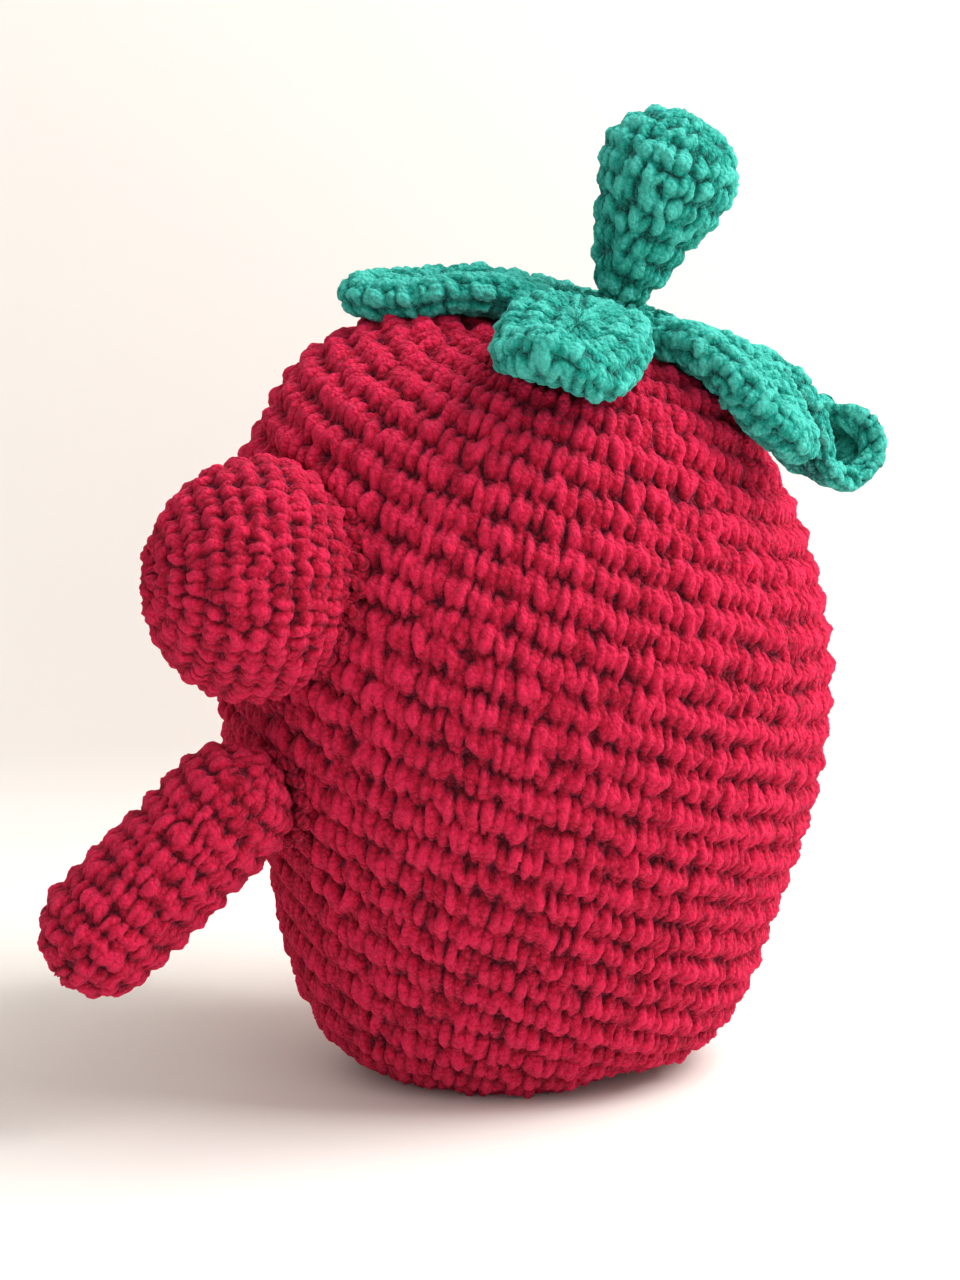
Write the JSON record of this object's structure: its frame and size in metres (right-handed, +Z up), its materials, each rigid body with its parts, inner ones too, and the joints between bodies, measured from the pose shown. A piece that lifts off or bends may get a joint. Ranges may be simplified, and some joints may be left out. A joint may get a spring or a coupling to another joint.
{
  "type": "stuffed tomato pincushion toy",
  "caption": "Stuffed crocheted tomato cushion with round cheeks, arms, domed eyes, and a calyx of leaves under a club-shaped stem.",
  "frame": {"origin": "centre of the flat base that the body stands on", "axes": "+Z up through the body, -Y the way the face looks, +X the toy's own left side"},
  "size_m": [0.1964, 0.2167, 0.2697],
  "materials": {
    "red_chenille": "matte",
    "teal_chenille": "matte",
    "sewing_yarn": "matte",
    "teal_yarn": "matte",
    "fibrefill": "matte",
    "black_plastic": "gloss",
    "washer_plastic": "matte"
  },
  "bodies": {
    "body": {"body_cover": "red_chenille", "body_stuffing": "fibrefill", "cheek_left_cover": "red_chenille", "cheek_left_stuffing": "fibrefill", "cheek_left_seam": "sewing_yarn", "cheek_right_cover": "red_chenille", "cheek_right_stuffing": "fibrefill", "cheek_right_seam": "sewing_yarn", "arm_left_seam": "sewing_yarn", "arm_right_seam": "sewing_yarn", "eye_left": "black_plastic", "eye_left_washer": "washer_plastic", "eye_right": "black_plastic", "eye_right_washer": "washer_plastic", "calyx_disc": "teal_chenille", "calyx_seam": "teal_yarn", "stem_seam": "teal_yarn"},
    "arm_left": {"arm_left_cover": "red_chenille", "arm_left_stuffing": "fibrefill"},
    "arm_right": {"arm_right_cover": "red_chenille", "arm_right_stuffing": "fibrefill"},
    "stem": {"stem_cover": "teal_chenille", "stem_stuffing": "fibrefill"},
    "leaf_front": {"leaf_front": "teal_chenille"},
    "leaf_left_front": {"leaf_left_front": "teal_chenille"},
    "leaf_left_back": {"leaf_left_back": "teal_chenille"},
    "leaf_right_back": {"leaf_right_back": "teal_chenille"},
    "leaf_right_front": {"leaf_right_front": "teal_chenille"}
  },
  "joints": [
    {"name": "arm_left_swing", "type": "hinge", "parent": "body", "child": "arm_left", "pos_m": [0.06817, -0.06817, 0.087], "axis": [-0.9659, -0.2588, 0], "range_deg": [-35, 60], "stiffness_Nm_per_rad": 0.25},
    {"name": "arm_right_swing", "type": "hinge", "parent": "body", "child": "arm_right", "pos_m": [-0.06817, -0.06817, 0.087], "axis": [-0.9659, 0.2588, 0], "range_deg": [-35, 60], "stiffness_Nm_per_rad": 0.25},
    {"name": "stem_rock", "type": "hinge", "parent": "body", "child": "stem", "pos_m": [0, 0.03281, 0.22129], "axis": [1, 0, 0], "range_deg": [-20, 20], "stiffness_Nm_per_rad": 0.3},
    {"name": "leaf_front_lift", "type": "hinge", "parent": "body", "child": "leaf_front", "pos_m": [0.00253, 0.00609, 0.21566], "axis": [-0.9945, -0.1003, 0.0293], "range_deg": [-6, 45], "stiffness_Nm_per_rad": 0.06},
    {"name": "leaf_left_front_lift", "type": "hinge", "parent": "body", "child": "leaf_left_front", "pos_m": [0.02407, 0.02676, 0.20962], "axis": [-0.1045, -0.9545, 0.2791], "range_deg": [-6, 45], "stiffness_Nm_per_rad": 0.06},
    {"name": "leaf_left_back_lift", "type": "hinge", "parent": "body", "child": "leaf_left_back", "pos_m": [0.01136, 0.0497, 0.20291], "axis": [0.8829, -0.4506, 0.1318], "range_deg": [-6, 45], "stiffness_Nm_per_rad": 0.06},
    {"name": "leaf_right_back_lift", "type": "hinge", "parent": "body", "child": "leaf_right_back", "pos_m": [-0.01422, 0.04798, 0.20341], "axis": [0.809, 0.5642, -0.165], "range_deg": [-3, 45], "stiffness_Nm_per_rad": 0.06},
    {"name": "leaf_right_front_lift", "type": "hinge", "parent": "body", "child": "leaf_right_front", "pos_m": [-0.02302, 0.02201, 0.21101], "axis": [-0.309, 0.9128, -0.2669], "range_deg": [-6, 45], "stiffness_Nm_per_rad": 0.06}
  ]
}
